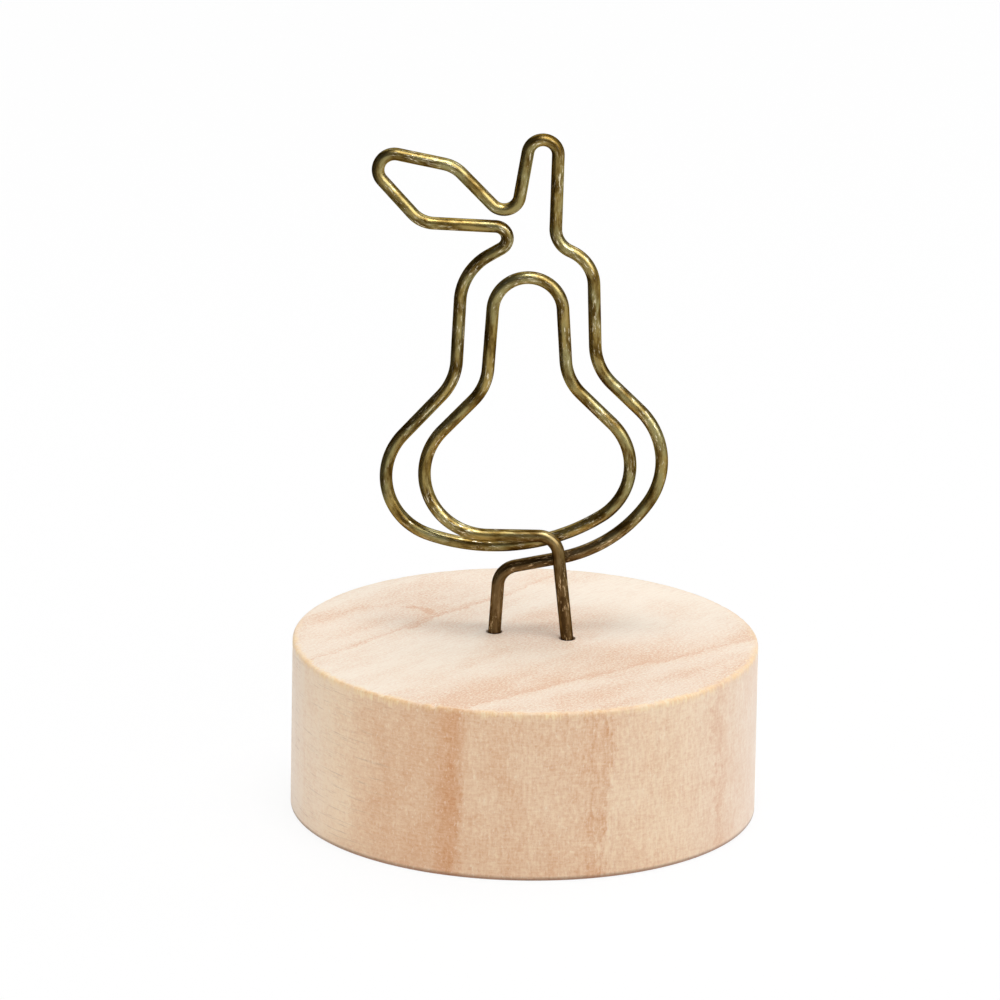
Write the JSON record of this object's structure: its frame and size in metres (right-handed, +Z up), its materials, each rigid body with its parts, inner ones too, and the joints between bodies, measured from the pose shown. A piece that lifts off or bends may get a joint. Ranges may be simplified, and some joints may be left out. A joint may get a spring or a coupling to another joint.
{
  "type": "photo clip holder",
  "caption": "Turned wooden disc with a wire bent into a pear with stem and leaf; the springy inner turn of the wire grips a photo or card against the outer turn.",
  "frame": {"origin": "middle of the wooden disc's underside", "axes": "+Z up along the disc's axis, +X to the right and +Y away from the viewer who faces the clip's front"},
  "size_m": [0.04, 0.04, 0.0596],
  "materials": {
    "wood": "bare, fine sanded, pale with pinkish grain",
    "antique_brass": "antique, brown-olive with worn bright scratches"
  },
  "bodies": {
    "stand": {"wooden_disc": "wood", "outer_turn": "antique_brass", "right_leg": "antique_brass"},
    "clip": {"inner_turn": "antique_brass"}
  },
  "joints": [
    {"name": "inner_turn_spring", "type": "hinge", "parent": "stand", "child": "clip", "pos_m": [-0.0033, 0.0012, 0.02349], "axis": [1, 0, 0], "range_deg": [-8, 8], "stiffness_Nm_per_rad": 0.7}
  ]
}
